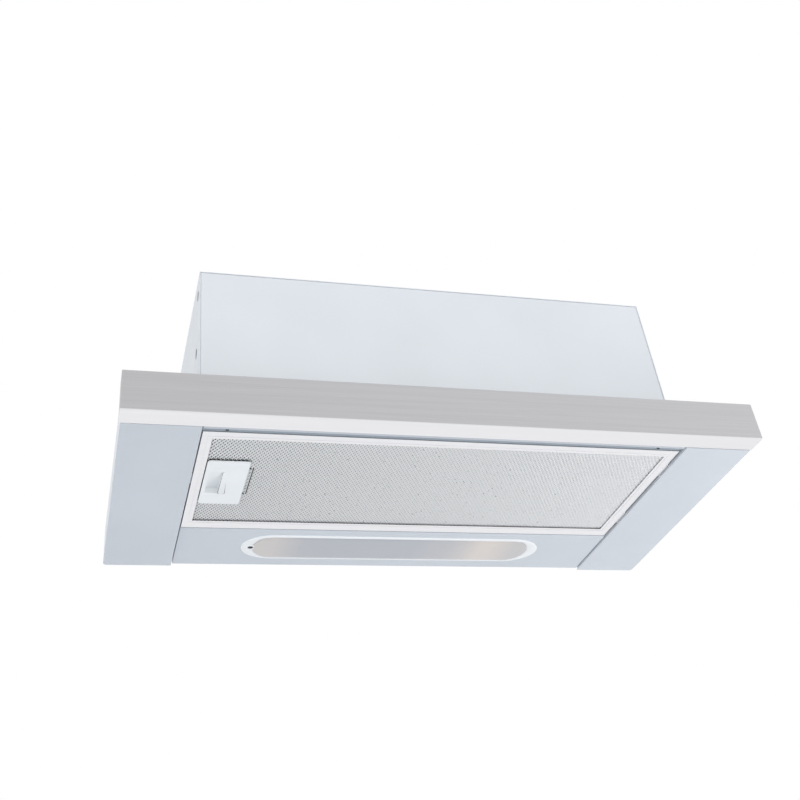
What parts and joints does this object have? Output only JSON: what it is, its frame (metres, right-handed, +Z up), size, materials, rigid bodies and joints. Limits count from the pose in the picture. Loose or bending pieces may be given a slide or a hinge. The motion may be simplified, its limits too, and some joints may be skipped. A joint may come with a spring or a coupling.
{
  "type": "pull-out range hood",
  "caption": "Slim cooker hood with a steel-fronted drawer on rails, hinged mesh grease filter with a finger latch, lamp cover, blower casing and round duct collar on top.",
  "frame": {"origin": "centre of the underside's outline, on the plane that the wings rest on", "axes": "+X to the right seen from the front, +Y to the back, so the front strip faces -Y, +Z up towards the duct collar"},
  "size_m": [0.598, 0.298, 0.221],
  "materials": {
    "paint": "satin pale grey paint",
    "steel": "long brushed grain along the strip",
    "zinc": "zinc plated",
    "aluminium": "satin",
    "mesh": "expanded metal",
    "white_plastic": "smooth moulded",
    "dark_plastic": "moulded",
    "black_screw": "blackened",
    "lamp_cover": "translucent, ribbed inside",
    "reflector": "white enamel",
    "lamp_glass": "pearl",
    "ceramic": "ceramic white",
    "volute_plastic": "moulded grey",
    "rubber": "matt",
    "motor_steel": "grey"
  },
  "bodies": {
    "casing": {"casing_top": "paint", "left_side_sheet": "paint", "right_side_sheet": "paint", "front_cover": "paint", "back_panel": "paint", "left_wing": "paint", "right_wing": "paint", "lamp_panel": "paint", "left_outer_rail": "zinc", "right_outer_rail": "zinc", "volute_left": "volute_plastic", "volute_right": "volute_plastic", "inlet_grille": "dark_plastic", "motor": "motor_steel", "motor_bracket": "zinc", "bracket_bushes": "rubber", "outlet_collar": "dark_plastic", "flap_pin": "steel", "connection_box": "white_plastic", "connection_box_lid": "white_plastic", "cable_gland": "dark_plastic", "capacitor": "aluminium", "switch_block": "dark_plastic", "microswitch": "dark_plastic", "lamp_reflector": "reflector", "left_lamp_holder": "ceramic", "right_lamp_holder": "ceramic", "left_lamp": "lamp_glass", "right_lamp": "lamp_glass", "lamp_cover": "lamp_cover", "lamp_cover_screw": "steel", "casing_screws": "zinc"},
    "impeller": {"impeller": "dark_plastic", "motor_shaft": "steel", "impeller_nut": "zinc"},
    "front_flap": {"front_flap": "aluminium"},
    "rear_flap": {"rear_flap": "aluminium"},
    "fan_slider": {"fan_slider": "white_plastic"},
    "light_slider": {"light_slider": "white_plastic"},
    "drawer": {"front_strip": "steel", "drawer_front_bar": "zinc", "drawer_pan": "zinc", "drawer_filter_frame": "aluminium", "drawer_filter_net": "mesh", "left_inner_rail": "zinc", "right_inner_rail": "zinc", "bar_screws": "black_screw"},
    "filter": {"filter_frame": "aluminium", "filter_net": "mesh", "filter_core": "mesh", "filter_back_net": "mesh", "latch_housing": "white_plastic", "latch_spring": "steel"},
    "latch": {"latch_handle": "white_plastic"}
  },
  "joints": [
    {"name": "drawer_slide", "type": "slide", "parent": "casing", "child": "drawer", "axis": [0, -1, 0], "range_m": [0, 0.16]},
    {"name": "filter_swing", "type": "hinge", "parent": "casing", "child": "filter", "pos_m": [0.2298, 0, 0.003], "axis": [0, -1, 0], "range_deg": [0, 55]},
    {"name": "latch_slide", "type": "slide", "parent": "filter", "child": "latch", "axis": [1, 0, 0], "range_m": [0, 0.004], "stiffness_N_per_m": 400, "springref_m": -0.002, "deforming": ["latch_spring"]},
    {"name": "impeller_spin", "type": "hinge", "parent": "casing", "child": "impeller", "pos_m": [0, -0.023, 0.108], "axis": [1, 0, 0], "continuous": true},
    {"name": "front_flap_swing", "type": "hinge", "parent": "casing", "child": "front_flap", "pos_m": [0, 0.021, 0.18905], "axis": [-1, 0, 0], "range_deg": [0, 70]},
    {"name": "rear_flap_swing", "type": "hinge", "parent": "casing", "child": "rear_flap", "pos_m": [0, 0.021, 0.18905], "axis": [1, 0, 0], "range_deg": [0, 70]},
    {"name": "fan_slide", "type": "slide", "parent": "casing", "child": "fan_slider", "axis": [1, 0, 0], "range_m": [0, 0.012]},
    {"name": "light_slide", "type": "slide", "parent": "casing", "child": "light_slider", "axis": [1, 0, 0], "range_m": [0, 0.006]}
  ]
}
